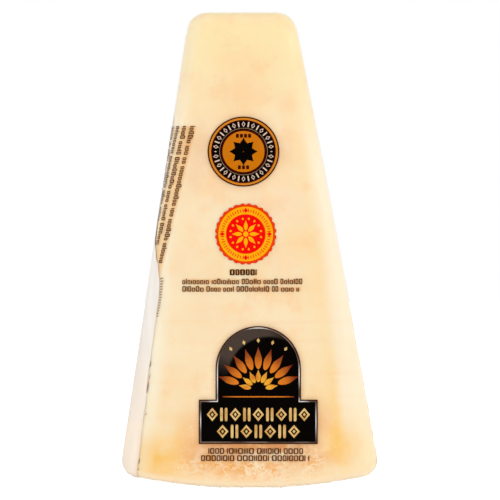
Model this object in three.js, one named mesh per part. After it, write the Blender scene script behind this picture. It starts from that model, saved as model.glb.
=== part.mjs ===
// A wedge of hard aged cheese, cut from a wheel and sealed in clear shrink film that clings to it all over.
// It stands on its rind with the narrow end up. The printed face looks along -Y, and the origin lies on the
// surface that the wedge stands on, under the middle of it. Millimetres, +Z up.
import * as THREE from "three";

// Driving dimensions
const HEIGHT = 147; // from the rind to the narrow end
const THICKNESS = 32; // from the printed face to the back
const LEFT_FOOT = -40.8; // where the left cut would meet the standing surface
const RIGHT_FOOT = 41.4; // where the right cut would meet it
const LEFT_LEAN = 0.15; // how far the left cut comes in for each millimetre up
const RIGHT_LEAN = 0.1875; // the right cut comes in faster, so the narrow end sits a little to the left
const RIGHT_SWELL = 0.45; // how far the right cut bows out half way up

const WHEEL_RADIUS = 190; // of the wheel that the rind's arc belongs to
const STANDING_HALF = 8; // half the width of the spot that the weight presses flat
const END_ROUNDING = 5.2; // where the rind and the narrow end turn into the cuts
const EDGE_ROUNDING = 5; // where the printed face and the back turn into the cuts
const ROUNDING_LEFT = 0.2; // the share of the edge rounding that is left right at the two ends

const BLUNT_EXTRA = 4.2; // how much wider the rounding is on the blunt stretch of the right front edge
const BLUNT_HEIGHT = 21; // the middle of that stretch
const BLUNT_REACH = 19; // and how far it goes on, up and down

const WAVE_DEPTH = 0.17; // of the slow waves that the cutting wire leaves on both faces
const WAVE_ACROSS = 9; // millimetres across the face to one radian of wave
const WAVE_UP = 16; // and up the face
const CRUMB_DEPTH = 0.3; // of the crumbly band just above the rind
const CRUMB_SIZE = 2.8; // millimetres to one radian of it
const CRUMB_HEIGHT = 9; // the middle of that band
const CRUMB_REACH = 8; // and how far it goes on, up and down

// How finely the surface is divided
const FACE_STEPS = 18; // across each face
const CUT_STEPS = 5; // across each cut
const ROUND_STEPS = 4; // round each long edge
const END_STEPS = 5; // round each end
const LEVELS = 36; // up the straight stretch

// The two cuts, as x against height
const leftCut = (z) => LEFT_FOOT + LEFT_LEAN * z;
const rightCut = (z) =>
  RIGHT_FOOT - RIGHT_LEAN * z + RIGHT_SWELL * Math.sin((Math.PI * z) / HEIGHT);

// How far the rind has risen above the standing surface, at x
function rindRise(x) {
  const arc = (v) => WHEEL_RADIUS - Math.sqrt(WHEEL_RADIUS ** 2 - v ** 2);
  return Math.max(0, arc(x) - arc(STANDING_HALF));
}

// The share of the rind's arc that a level still follows: all of it at the foot, none from half way up.
function arcShare(z) {
  const gone = (z - END_ROUNDING) / (HEIGHT / 2 - END_ROUNDING);
  return 1 - THREE.MathUtils.clamp(gone, 0, 1);
}

// A bump that is 1 at the middle and fades over the reach
const bump = (z, middle, reach) => Math.exp(-(((z - middle) / reach) ** 2));

// One level of the wedge is a rectangle with rounded corners. Each of its points says which side it is on,
// with a corner at -1 or 1 each way, and which way its rounding faces.
function sectionPoints() {
  const points = [];
  const side = (from, to, steps, facing) => {
    for (let i = 0; i < steps; i++) {
      points.push({ side: from.clone().lerp(to, i / steps), facing });
    }
  };
  const corner = (at, startAngle) => {
    for (let i = 0; i < ROUND_STEPS; i++) {
      const angle = startAngle + (Math.PI / 2) * (i / ROUND_STEPS);
      const facing = new THREE.Vector2(Math.cos(angle), Math.sin(angle));
      points.push({ side: at, facing });
    }
  };
  const v = (x, y) => new THREE.Vector2(x, y);
  side(v(-1, -1), v(1, -1), FACE_STEPS, v(0, -1));
  corner(v(1, -1), -Math.PI / 2);
  side(v(1, -1), v(1, 1), CUT_STEPS, v(1, 0));
  corner(v(1, 1), 0);
  side(v(1, 1), v(-1, 1), FACE_STEPS, v(0, 1));
  corner(v(-1, 1), Math.PI / 2);
  side(v(-1, 1), v(-1, -1), CUT_STEPS, v(-1, 0));
  corner(v(-1, -1), Math.PI);
  return points;
}

// The levels of one end, from the middle of its flat out to the straight stretch: the height above the end,
// how far the end rounding draws the level in, and its scale inside the flat. The innermost one fits in the
// standing spot.
function endLevels() {
  const innermost = STANDING_HALF / RIGHT_FOOT;
  const levels = [
    { z: 0, inset: END_ROUNDING, scale: innermost },
    { z: 0, inset: END_ROUNDING, scale: (1 + innermost) / 2 },
  ];
  for (let i = 0; i <= END_STEPS; i++) {
    const angle = (Math.PI / 2) * (i / END_STEPS);
    levels.push({
      z: END_ROUNDING * (1 - Math.cos(angle)),
      inset: END_ROUNDING * (1 - Math.sin(angle)),
      scale: 1,
    });
  }
  return levels;
}

// All levels from the rind to the narrow end
function sectionLevels() {
  const foot = endLevels();
  const top = endLevels()
    .reverse()
    .map((level) => ({ ...level, z: HEIGHT - level.z }));
  const straight = [];
  for (let i = 1; i < LEVELS; i++) {
    const z = THREE.MathUtils.lerp(END_ROUNDING, HEIGHT - END_ROUNDING, i / LEVELS);
    straight.push({ z, inset: 0, scale: 1 });
  }
  return [...foot, ...straight, ...top];
}

// How far the surface of a face stands out at x and z
function relief(x, z) {
  const across = x / WAVE_ACROSS;
  const up = z / WAVE_UP;
  const waves = Math.sin(across) * Math.sin(up) + Math.sin(across - up);
  const crumbs = Math.sin(x / CRUMB_SIZE) * Math.cos(z / CRUMB_SIZE);
  return WAVE_DEPTH * waves + CRUMB_DEPTH * crumbs * bump(z, CRUMB_HEIGHT, CRUMB_REACH);
}

// Where a point of the section lies on a level
function place({ side, facing }, { z, inset, scale }) {
  const rounding = THREE.MathUtils.lerp(1, ROUNDING_LEFT, inset / END_ROUNDING);
  const radius = EDGE_ROUNDING * rounding;
  const left = leftCut(z) + inset;
  const right = rightCut(z) - inset;
  const middle = (left + right) / 2;
  const halfCore = (right - left) / 2 - radius;
  let x = middle + scale * (side.x * halfCore + facing.x * radius);
  let y = scale * (side.y * (THICKNESS / 2 - inset - radius) + facing.y * radius);
  if (side.x === 1 && side.y === -1) {
    // The blunt edge keeps its outline and starts to turn further in on the face.
    x -= scale * BLUNT_EXTRA * rounding * bump(z, BLUNT_HEIGHT, BLUNT_REACH) * (1 - facing.x);
  }
  if (Math.abs(facing.y) === 1 && scale === 1) {
    y += facing.y * relief(x, z) * (1 - inset / END_ROUNDING);
  }
  const raised = z + rindRise(x) * arcShare(z);
  // A raised point keeps to the lean of the cuts.
  const across = (x - left) / (right - left);
  x += THREE.MathUtils.lerp(leftCut(raised) - leftCut(z), rightCut(raised) - rightCut(z), across);
  return [x, y, raised];
}

// Joins the levels into one closed skin, with a single point in the middle of each end.
function wedgeGeometry() {
  const section = sectionPoints();
  const levels = sectionLevels();
  const around = section.length;
  const positions = levels.flatMap((level) => section.flatMap((point) => place(point, level)));
  const faces = [];
  for (let row = 0; row + 1 < levels.length; row++) {
    for (let i = 0; i < around; i++) {
      const a = row * around + i;
      const b = row * around + ((i + 1) % around);
      faces.push(a, b, b + around, a, b + around, a + around);
    }
  }
  const endMiddle = (z) => [(leftCut(z) + rightCut(z)) / 2, 0, z];
  const footPoint = positions.length / 3;
  const topPoint = footPoint + 1;
  positions.push(...endMiddle(0), ...endMiddle(HEIGHT));
  const lastRow = (levels.length - 1) * around;
  for (let i = 0; i < around; i++) {
    const next = (i + 1) % around;
    faces.push(footPoint, next, i);
    faces.push(topPoint, lastRow + i, lastRow + next);
  }
  const geometry = new THREE.BufferGeometry();
  geometry.setAttribute("position", new THREE.Float32BufferAttribute(positions, 3));
  geometry.setIndex(faces);
  geometry.computeVertexNormals();
  return geometry;
}

// Puts the middle of the wedge's outline over the origin.
function centred(geometry) {
  geometry.computeBoundingBox();
  const { min, max } = geometry.boundingBox;
  return geometry.translate(-(min.x + max.x) / 2, -(min.y + max.y) / 2, -min.z);
}

// The pale cheese as it looks through the film
const wrappedCheese = new THREE.MeshStandardMaterial({
  color: "#fae3bb",
  roughness: 0.25,
  metalness: 0,
});

const wedge = new THREE.Mesh(centred(wedgeGeometry()), wrappedCheese);
wedge.name = "wrapped_wedge";

const part = new THREE.Group();
part.add(wedge);

export default part;
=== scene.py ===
"""A wedge of hard aged cheese in clear printed shrink film, standing on its rind. Metres, +Z up."""

import math
import random

import bpy
from mathutils import Matrix, Vector, noise


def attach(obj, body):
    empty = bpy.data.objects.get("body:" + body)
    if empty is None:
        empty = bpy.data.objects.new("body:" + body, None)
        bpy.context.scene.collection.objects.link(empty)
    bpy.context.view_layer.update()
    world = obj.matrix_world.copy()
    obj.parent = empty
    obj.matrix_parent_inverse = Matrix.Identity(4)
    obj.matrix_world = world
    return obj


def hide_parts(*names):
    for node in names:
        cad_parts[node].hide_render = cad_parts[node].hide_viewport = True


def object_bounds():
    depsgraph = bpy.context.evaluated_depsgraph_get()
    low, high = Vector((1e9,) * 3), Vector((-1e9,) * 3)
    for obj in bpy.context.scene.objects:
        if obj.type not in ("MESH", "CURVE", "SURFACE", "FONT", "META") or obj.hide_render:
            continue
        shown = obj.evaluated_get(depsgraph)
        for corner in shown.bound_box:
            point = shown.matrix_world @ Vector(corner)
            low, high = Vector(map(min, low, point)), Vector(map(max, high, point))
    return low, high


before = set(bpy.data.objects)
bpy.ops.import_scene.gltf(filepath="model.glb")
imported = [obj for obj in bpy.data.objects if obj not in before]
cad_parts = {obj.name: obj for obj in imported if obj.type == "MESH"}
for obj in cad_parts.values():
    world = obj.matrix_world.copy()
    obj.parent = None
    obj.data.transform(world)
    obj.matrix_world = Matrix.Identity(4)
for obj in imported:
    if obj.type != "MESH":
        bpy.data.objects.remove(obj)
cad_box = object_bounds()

MM = 0.001

# The wedge, as its solid has it
WEDGE = "wrapped_wedge"
HEIGHT = cad_box[1].z
FACE_Y = cad_box[0].y
BACK_Y = cad_box[1].y
LEFT_FOOT = -40.975 * MM
RIGHT_FOOT = 41.225 * MM
LEFT_LEAN = 0.15
RIGHT_LEAN = 0.1875
WHEEL_RADIUS = 190 * MM
STANDING_HALF = 8 * MM
END_ROUNDING = 5.2 * MM
EDGE_ROUNDING = 5 * MM
HALF_THICKNESS = 16 * MM

# How finely the cheese and the film are cut up, and how thick a layer of ink is
BLOCK_STEP = 1.1 * MM
SMOOTHINGS = 6
LAYER = 0.03 * MM
INK_THICKNESS = 0.05 * MM


# Selecting and shaping --------------------------------------------------------


def linked(name, data):
    """A new object in the scene."""
    thing = bpy.data.objects.new(name, data)
    bpy.context.scene.collection.objects.link(thing)
    return thing


def take(piece):
    """Makes a piece the only one selected, and the active one."""
    if bpy.context.object and bpy.context.object.mode != "OBJECT":
        bpy.ops.object.mode_set(mode="OBJECT")
    bpy.ops.object.select_all(action="DESELECT")
    piece.select_set(True)
    bpy.context.view_layer.objects.active = piece


def named(name):
    """Gives the primitive that was just added its name, and puts its size and place in its mesh."""
    piece = bpy.context.object
    piece.name = name
    piece.data.name = name
    take(piece)
    bpy.ops.object.transform_apply(location=True, rotation=True, scale=True)
    return piece


def edit_where(piece, kind, wanted):
    """Opens a piece for editing with the vertices, edges or faces selected that a test picks."""
    take(piece)
    mesh = piece.data
    for group in (mesh.vertices, mesh.edges, mesh.polygons):
        group.foreach_set("select", [False] * len(group))
    group = {"VERT": mesh.vertices, "EDGE": mesh.edges, "FACE": mesh.polygons}[kind]
    for part in group:
        part.select = wanted(part)
    bpy.ops.object.mode_set(mode="EDIT")
    bpy.ops.mesh.select_mode(type=kind)


def edit_all(piece):
    """Opens a piece for editing with all of it selected."""
    take(piece)
    bpy.ops.object.mode_set(mode="EDIT")
    bpy.ops.mesh.select_all(action="SELECT")


def stop_edit():
    bpy.ops.object.mode_set(mode="OBJECT")


def on_all(piece, operator, **settings):
    """Runs one mesh operator on all of a piece."""
    edit_all(piece)
    operator(**settings)
    stop_edit()


def modify(piece, kind, **settings):
    """Adds a modifier to a piece and applies it."""
    modifier = piece.modifiers.new(kind.lower(), kind)
    for name, value in settings.items():
        setattr(modifier, name, value)
    take(piece)
    bpy.ops.object.modifier_apply(modifier=modifier.name)


def draw_onto(piece, skin):
    """Draws every vertex to the nearest place on a skin."""
    modify(piece, "SHRINKWRAP", target=skin, wrap_method="NEAREST_SURFACEPOINT")


def project_onto(piece, skin, axis, positive, lift=0.0):
    """Slides every vertex along an axis, one way, until it meets a skin."""
    direction = {
        "use_project_" + axis: True,
        "use_positive_direction": positive,
        "use_negative_direction": not positive,
    }
    modify(piece, "SHRINKWRAP", target=skin, wrap_method="PROJECT", offset=lift, **direction)


def thicken(piece, thickness):
    """Gives a sheet its thickness, inwards."""
    modify(piece, "SOLIDIFY", thickness=thickness, offset=-1)


def cut_along(piece, axis, step):
    """Divides the edges that run along an axis into equal steps."""
    corners = piece.data.vertices

    def run(edge):
        return corners[edge.vertices[1]].co - corners[edge.vertices[0]].co

    def runs_along(edge):
        return abs(run(edge)[axis]) > 0.9 * run(edge).length

    longest = max(run(edge).length for edge in piece.data.edges if runs_along(edge))
    edit_where(piece, "EDGE", runs_along)
    bpy.ops.mesh.subdivide(number_cuts=max(1, round(longest / step) - 1))
    stop_edit()


def move_out(piece, how_far):
    """Moves each vertex along its normal, by what a function of its place and normal says."""
    shifts = [v.normal * how_far(v.co, v.normal) for v in piece.data.vertices]
    for vertex, shift in zip(piece.data.vertices, shifts):
        vertex.co += shift
        vertex.co.z = max(0.0, vertex.co.z)
    piece.data.update()


def smooth_step(value, start, end):
    """0 at start, 1 at end, with a soft turn at both."""
    share = min(1.0, max(0.0, (value - start) / (end - start)))
    return share * share * (3 - 2 * share)


def finished(piece, material):
    """Dresses a piece that is in place and lets it ride on the wedge."""
    take(piece)
    bpy.ops.object.shade_smooth()
    piece.data.materials.clear()
    piece.data.materials.append(material)
    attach(piece, "root")
    return piece


def printed(piece, material):
    """Dresses a thin layer, which stays sharp along its cut edges."""
    finished(piece, material)
    take(piece)
    bpy.ops.object.shade_smooth_by_angle(angle=math.radians(40))
    return piece


# Shader building --------------------------------------------------------------


class Graph:
    """Adds nodes to a node tree. An input is given a value, or a socket to be linked to."""

    def __init__(self, tree):
        self.tree = tree

    def add(self, kind, inputs=None, **settings):
        node = self.tree.nodes.new(kind)
        for name, value in settings.items():
            setattr(node, name, value)
        for key, value in (inputs or {}).items():
            if isinstance(value, bpy.types.NodeSocket):
                self.tree.links.new(value, node.inputs[key])
            else:
                node.inputs[key].default_value = value
        return node

    def chain(self, operation, first, *others):
        """Takes values together from left to right with one operation."""
        for other in others:
            first = self.add("ShaderNodeMath", {0: first, 1: other}, operation=operation).outputs[0]
        return first

    def plus(self, *terms):
        return self.chain("ADD", *terms)

    def minus(self, *terms):
        return self.chain("SUBTRACT", *terms)

    def times(self, *factors):
        return self.chain("MULTIPLY", *factors)

    def largest(self, *values):
        return self.chain("MAXIMUM", *values)

    def smallest(self, *values):
        return self.chain("MINIMUM", *values)

    def apart(self, value, middle):
        """How far a value is from a middle, either way."""
        return self.chain("ABSOLUTE", self.minus(value, middle), 0.0)

    def distance(self, place, other):
        """The distance between two places in space."""
        node = self.add("ShaderNodeVectorMath", {0: place, 1: other}, operation="DISTANCE")
        return node.outputs["Value"]

    def fit(self, value, low, high, out_low=0.0, out_high=1.0):
        """Takes a value from one range to another with a soft turn at both ends."""
        inputs = {"Value": value, "From Min": low, "From Max": high, "To Min": out_low, "To Max": out_high}
        return self.add("ShaderNodeMapRange", inputs, interpolation_type="SMOOTHSTEP").outputs[0]

    def noise(self, place, size, detail=2.0, stretch=(1, 1, 1), roughness=0.5):
        """Noise with features of about the given size, from 0 to 1."""
        moved = self.add("ShaderNodeMapping", {"Vector": place, "Scale": stretch}).outputs[0]
        inputs = {"Vector": moved, "Scale": 1 / size, "Detail": detail, "Roughness": roughness}
        return self.add("ShaderNodeTexNoise", inputs).outputs[0]

    def blend(self, share, first, second, how="MIX"):
        """Mixes two colours."""
        inputs = {0: share, 6: first, 7: second}
        return self.add("ShaderNodeMix", inputs, data_type="RGBA", blend_type=how).outputs[2]

    def place(self):
        return self.add("ShaderNodeTexCoord").outputs["Object"]

    def split(self, vector):
        return self.add("ShaderNodeSeparateXYZ", {0: vector}).outputs

    def spot(self, place, centre, size):
        """1 in the middle of a soft ellipsoid, 0 outside it."""
        inputs = {"Vector": place, "Location": [-c / s for c, s in zip(centre, size)]}
        inputs["Scale"] = [1 / s for s in size]
        moved = self.add("ShaderNodeMapping", inputs).outputs[0]
        return self.fit(self.distance(moved, (0, 0, 0)), 1.0, 0.0)

    def bump(self, height, strength):
        """The normal of a surface with a relief, whose height is in metres."""
        inputs = {"Height": height, "Distance": 1.0, "Strength": strength}
        return self.add("ShaderNodeBump", inputs).outputs[0]


def paint(red, green, blue):
    """A colour as seen on a screen, 0 to 255, in the linear values that shaders use."""

    def linear(value):
        share = value / 255
        if share <= 0.04045:
            return share / 12.92
        return ((share + 0.055) / 1.055) ** 2.4

    return (linear(red), linear(green), linear(blue), 1.0)


def grey(value):
    """A grey of a linear brightness."""
    return (value, value, value, 1.0)


def new_group(name, inputs, outputs):
    """An empty node group with named sockets of given kinds: the graph to fill it and what it is given."""
    tree = bpy.data.node_groups.new(name, "ShaderNodeTree")
    for way, sockets in (("INPUT", inputs), ("OUTPUT", outputs)):
        for label, kind in sockets.items():
            tree.interface.new_socket(label, in_out=way, socket_type="NodeSocket" + kind)
    graph = Graph(tree)
    return graph, graph.add("NodeGroupInput").outputs


def new_material(name):
    """An empty material, the graph to fill it, and the place on the piece that it is shown on."""
    material = bpy.data.materials.new(name)
    material.use_nodes = True
    material.node_tree.nodes.clear()
    graph = Graph(material.node_tree)
    return material, graph, graph.place()


def end_with(graph, shader):
    graph.add("ShaderNodeOutputMaterial", {"Surface": shader.outputs[0]})


def solid_surface(graph, colour, roughness, gloss, **more):
    """Ends a material with an opaque surface. Other sockets are named with _ for each space."""
    inputs = {"Base Color": colour, "Roughness": roughness, "Specular IOR Level": gloss}
    for name, value in more.items():
        inputs[name.replace("_", " ")] = value
    end_with(graph, graph.add("ShaderNodeBsdfPrincipled", inputs))


# Camera, light and stage ------------------------------------------------------

VIEW_WIDTH = 154.4 * MM
VIEW_DISTANCE = 900 * MM
OUTLINE_Y = FACE_Y + EDGE_ROUNDING
SENSOR = 36.0

ROOM_LIGHT = 0.67
MIRRORED_LIGHT = 0.88
FRONT_LIGHT = 0.02

# Softboxes: name, place, width and height, power
SOFTBOXES = [
    ("right softbox", (0.88, -0.82, 0.25), (0.6, 0.9), 5.2),
    ("left softbox", (-1.1, -0.75, 0.4), (0.5, 0.9), 3.2),
    ("top softbox", (0.1, -0.6, 1.2), (1.0, 0.6), 3.2),
]

FLOOR_RADIUS = 3.2


def make_camera():
    """Looks level at the middle of the printed face, with the outline of the wedge at its true scale."""
    data = bpy.data.cameras.new("camera")
    data.sensor_width = SENSOR
    data.lens = SENSOR * VIEW_DISTANCE / VIEW_WIDTH
    camera = linked("camera", data)
    camera.location = (0, OUTLINE_Y - VIEW_DISTANCE, HEIGHT / 2)
    camera.rotation_euler = (math.pi / 2, 0, 0)
    bpy.context.scene.camera = camera


def make_white_room():
    """A white world that is darker straight in front of the printed face, so that black ink stays black."""
    world = bpy.data.worlds.new("white room")
    bpy.context.scene.world = world
    world.use_nodes = True
    world.node_tree.nodes.clear()
    graph = Graph(world.node_tree)
    direction = graph.add("ShaderNodeTexCoord").outputs["Generated"]
    front = graph.times(graph.split(direction)["Y"], -1.0)
    rays = graph.add("ShaderNodeLightPath").outputs
    around = graph.fit(rays["Is Glossy Ray"], 0.0, 1.0, ROOM_LIGHT, MIRRORED_LIGHT)
    strength = graph.fit(front, 0.70, 0.93, around, FRONT_LIGHT)
    shown = graph.largest(strength, rays["Is Camera Ray"])
    background = graph.add("ShaderNodeBackground", {"Color": grey(1.0), "Strength": shown})
    graph.add("ShaderNodeOutputWorld", {"Surface": background.outputs[0]})


def make_softbox(name, place, size, power):
    """A rectangular soft light that looks at the middle of the wedge. Gloss doesn't mirror it."""
    data = bpy.data.lights.new(name, "AREA")
    data.shape = "RECTANGLE"
    data.size, data.size_y = size
    data.energy = power
    light = linked(name, data)
    light.location = place
    aim = Vector((0, 0, HEIGHT / 2)) - light.location
    light.rotation_euler = aim.to_track_quat("-Z", "Y").to_euler()
    light.visible_camera = False
    light.visible_glossy = False


def make_floor_material():
    """A floor that glows white, but is dim where gloss mirrors it, so that black ink stays black."""
    material, graph, place = new_material("white floor")
    speck = graph.noise(place, 60 * MM, 2.0)
    rays = graph.add("ShaderNodeLightPath").outputs
    mirrored = rays["Is Glossy Ray"]
    glow = graph.fit(rays["Is Camera Ray"], 0.0, 1.0, 0.62, 1.0)
    glow = graph.times(glow, graph.fit(mirrored, 0.0, 1.0, 1.0, 0.05))
    white = graph.blend(speck, grey(0.52), grey(0.56))
    colour = graph.blend(mirrored, white, grey(0.03))
    roughness = graph.fit(speck, 0.3, 0.7, 0.7, 0.8)
    solid_surface(graph, colour, roughness, 0.1, Emission_Color=grey(1.0), Emission_Strength=glow)
    return material


def make_floor():
    """The round floor that the wedge stands on, which isn't part of it."""
    bpy.ops.mesh.primitive_circle_add(vertices=96, radius=FLOOR_RADIUS, fill_type="NGON")
    floor = named("floor")
    floor.data.materials.append(make_floor_material())


# Effects that several materials share -----------------------------------------

WAVE_HEIGHT = 0.30 * MM
CRINKLE_HEIGHT = 0.16 * MM
FADED_INK = (0.9, 0.75, 0.55, 1.0)


def make_film_waves():
    """The slow ripple of taut film, with gathers towards both ends, over a relief. All heights in metres."""
    graph, given = new_group("film waves", {"Place": "Vector", "Relief": "Float"}, {"Height": "Float"})
    wave = graph.noise(given["Place"], 26 * MM, 1.0)
    crinkle = graph.noise(given["Place"], 3.2 * MM, 2.0, stretch=(1.0, 1.0, 0.18))
    up = graph.split(given["Place"])["Z"]
    ends = graph.largest(graph.fit(up, HEIGHT - 12 * MM, HEIGHT), graph.fit(up, 10 * MM, 0.0))
    height = graph.plus(graph.times(wave, WAVE_HEIGHT), graph.times(crinkle, ends, CRINKLE_HEIGHT))
    graph.add("NodeGroupOutput", {"Height": graph.plus(height, given["Relief"])})
    return graph.tree


def make_print_grain():
    """Ink that lies a little unevenly. Puts out a colour and a roughness."""
    inputs = {"Place": "Vector", "Colour": "Color", "Unevenness": "Float"}
    graph, given = new_group("print grain", inputs, {"Colour": "Color", "Roughness": "Float"})
    cloud = graph.noise(given["Place"], 4 * MM, 3.0)
    speck = graph.noise(given["Place"], 0.35 * MM, 1.0)
    both = graph.plus(graph.times(cloud, 0.6), graph.times(speck, 0.4))
    share = graph.times(graph.fit(both, 0.35, 0.65), given["Unevenness"])
    faded = graph.blend(0.5, given["Colour"], FADED_INK)
    colour = graph.blend(share, given["Colour"], faded)
    roughness = graph.fit(cloud, 0.3, 0.7, 0.22, 0.34)
    graph.add("NodeGroupOutput", {"Colour": colour, "Roughness": roughness})
    return graph.tree


# Where the print lies on the front --------------------------------------------

BADGE = (-2.0 * MM, 103.75 * MM)
BADGE_RADIUS = 11.0 * MM
SEAL = (-1.3 * MM, 78.4 * MM)

SIGN_X = 2.55 * MM
SIGN_FOOT = 14.2 * MM
SIGN_SHOULDER = 27.2 * MM
SIGN_HALF = 17.95 * MM
DOME_HALF = 12.8 * MM
DOME_SPRING = 37.0 * MM
FAN = (SIGN_X, 30.6 * MM)

# The margin's rows start at the top and drift towards the left edge as they go down
MARGIN_TOP = 111.6 * MM
MARGIN_DRIFT = 0.087

# Painted glints, where the silver rim is bright: sideways from the sign's middle, height, and half sizes, in
# mm
PAINTED_SILVER_GLINTS = [
    (-12.8, 34, 3, 9),
    (12.8, 35, 3, 5),
    (0.0, 49.8, 5, 2),
    (-18.2, 21, 2, 4),
    (18.2, 21, 2, 7),
    (-13.5, 27.2, 3, 1.5),
    (13.5, 27.2, 3, 1.5),
]

# Dark print, round which painted shade darkens the cheese behind it: boxes and discs, each with how strongly
SIGN_MIDDLE = (SIGN_FOOT + SIGN_SHOULDER) / 2
DOME_MIDDLE = (SIGN_SHOULDER + DOME_SPRING) / 2
SHADED_FIELDS = [
    ((SIGN_X, SIGN_MIDDLE), (SIGN_HALF, SIGN_MIDDLE - SIGN_FOOT), 0.8),
    ((SIGN_X, DOME_MIDDLE), (DOME_HALF, DOME_MIDDLE - SIGN_SHOULDER), 0.8),
]
SHADED_DISCS = [(BADGE, BADGE_RADIUS, 0.45), ((SIGN_X, DOME_SPRING), DOME_HALF, 0.8)]
SHADE_REACH = 2.6 * MM

# Rows behind which painted shade warms and darkens the cheese: ends, foot and top, and how strongly
VEILED_ROWS = [
    ((-5.9 * MM, 2.0 * MM), (66.2 * MM, 67.2 * MM), 0.9),
    ((-20.4 * MM, 15.8 * MM), (63.4 * MM, 64.2 * MM), 0.6),
    ((-20.4 * MM, 15.4 * MM), (61.1 * MM, 61.9 * MM), 0.6),
]
VEIL_EDGE = 0.7 * MM

# How far the painted shade of the margin's rows reaches from the left cut
MARGIN_VEIL = 6.9 * MM


# The cheese's colours ---------------------------------------------------------

CREAM = paint(250, 219, 174)
PALE_CREAM = paint(251, 227, 192)
YELLOW_CREAM = paint(251, 221, 166)
TIP_CREAM = paint(252, 228, 178)
PEACH = paint(250, 203, 152)
PINK_CREAM = paint(247, 212, 178)
# Painted light along the rounded edges
LEFT_EDGE_LIGHT = paint(255, 237, 213)
RIGHT_EDGE_LIGHT = paint(252, 232, 207)
# Painted shade beside the badge
PRINT_SHADE_TINT = paint(230, 194, 156)
AMBER_STAIN = paint(254, 196, 88)
TAN = paint(226, 156, 86)
FOOT_TAN = paint(230, 166, 104)
FOOT_AMBER = paint(240, 178, 98)
CRUMB = paint(249, 228, 196)
# Painted light along the foot
FOOT_LIGHT = paint(248, 226, 194)
RIND = paint(204, 146, 84)
RIND_DARK = paint(166, 108, 58)
SIDE_OCHRE = paint(240, 196, 130)
# Painted shade round the dark print
PAINTED_PRINT_SHADE = paint(230, 206, 184)
# Painted shade behind the rows of small print
PRINT_VEIL_SHADE = paint(248, 224, 184)

# Soft tints of the front: colour, middle, half width and half height in mm, strength
FRONT_TINTS = [
    (PEACH, (-2, 145.5), (19, 4.5), 0.42),
    (PEACH, (16.5, 130), (5, 20), 0.36),
    (PEACH, (-2, 132), (16, 7), 0.35),
    (PEACH, (-4, 117), (16, 15), 0.25),
    (PEACH, (-2, 123), (9, 8), 0.55),
    (PEACH, (11.5, 118), (6, 6), 0.5),
    (PALE_CREAM, (-20, 80), (9, 20), 0.9),
    (PALE_CREAM, (-13, 74), (9, 11), 0.5),
    (PALE_CREAM, (7, 92), (6, 6), 0.5),
    (PALE_CREAM, (-20, 44), (13, 26), 0.6),
    (PALE_CREAM, (-12, 42), (10, 17), 0.5),
    (PALE_CREAM, (-4, 48), (28, 15), 0.5),
    (PALE_CREAM, (19, 44), (7, 20), 0.85),
    (FOOT_TAN, (-17, 15), (9, 12), 0.5),
    (FOOT_TAN, (22, 20.5), (6.5, 10), 0.42),
    (FOOT_AMBER, (-11.5, 7.3), (6, 3.6), 0.7),
    (CRUMB, (14, 5.8), (6.5, 4.5), 0.75),
    (CRUMB, (24.5, 6), (8, 4), 0.55),
    (CRUMB, (-4.5, 4), (5, 3), 0.55),
    (AMBER_STAIN, (-21, 16), (9, 9), 0.28),
    (AMBER_STAIN, (-28, 8.8), (13, 11.8), 0.8),
    (AMBER_STAIN, (28.5, 14), (8.5, 9.6), 0.88),
    (AMBER_STAIN, (26.5, 27), (3.6, 24), 0.45),
    # Painted shade beside the badge and the margin's print
    (PRINT_SHADE_TINT, (-15.5, 104), (6, 12), 0.6),
    (PRINT_SHADE_TINT, (-17, 96), (5, 9), 0.4),
    (PRINT_SHADE_TINT, (11, 104), (4, 10), 0.35),
]


def inside_left(graph, x, z):
    """How far a place is inside the left cut."""
    return graph.minus(x, graph.plus(graph.times(z, LEFT_LEAN), LEFT_FOOT))


def inside_right(graph, x, z):
    """How far a place is inside the right cut."""
    return graph.minus(graph.plus(graph.times(z, -RIGHT_LEAN), RIGHT_FOOT), x)


def rind_depth(graph, place):
    """How far above the arc of the rind a place is."""
    x, _, z = graph.split(place)
    rise = graph.chain("DIVIDE", graph.times(x, x), 2 * WHEEL_RADIUS)
    return graph.minus(z, rise)


def cheese_clouds(graph, place):
    """The cream of the cheese, with yellow, pink and peach clouds."""
    x, _, z = graph.split(place)
    cloud = graph.noise(place, 16 * MM, 4.0, roughness=0.6)
    colour = graph.blend(graph.fit(cloud, 0.38, 0.62), CREAM, PALE_CREAM)
    towards_tip = graph.fit(z, 108 * MM, 138 * MM)
    colour = graph.blend(graph.times(towards_tip, 0.8), colour, TIP_CREAM)
    towards_right = graph.fit(x, 8 * MM, 24 * MM)
    colour = graph.blend(graph.times(towards_right, 0.5), colour, YELLOW_CREAM)
    blush = graph.noise(place, 21 * MM, 3.0, stretch=(1.0, 1.0, 0.8))
    middle = graph.spot(place, (-2 * MM, 0, 74 * MM), (34 * MM, 60 * MM, 64 * MM))
    pink = graph.times(graph.fit(blush, 0.42, 0.66), middle, 0.8)
    colour = graph.blend(pink, colour, PINK_CREAM)
    warm = graph.noise(place, 9 * MM, 5.0, roughness=0.7)
    return graph.blend(graph.fit(warm, 0.48, 0.7, 0.0, 0.55), colour, PEACH)


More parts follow.
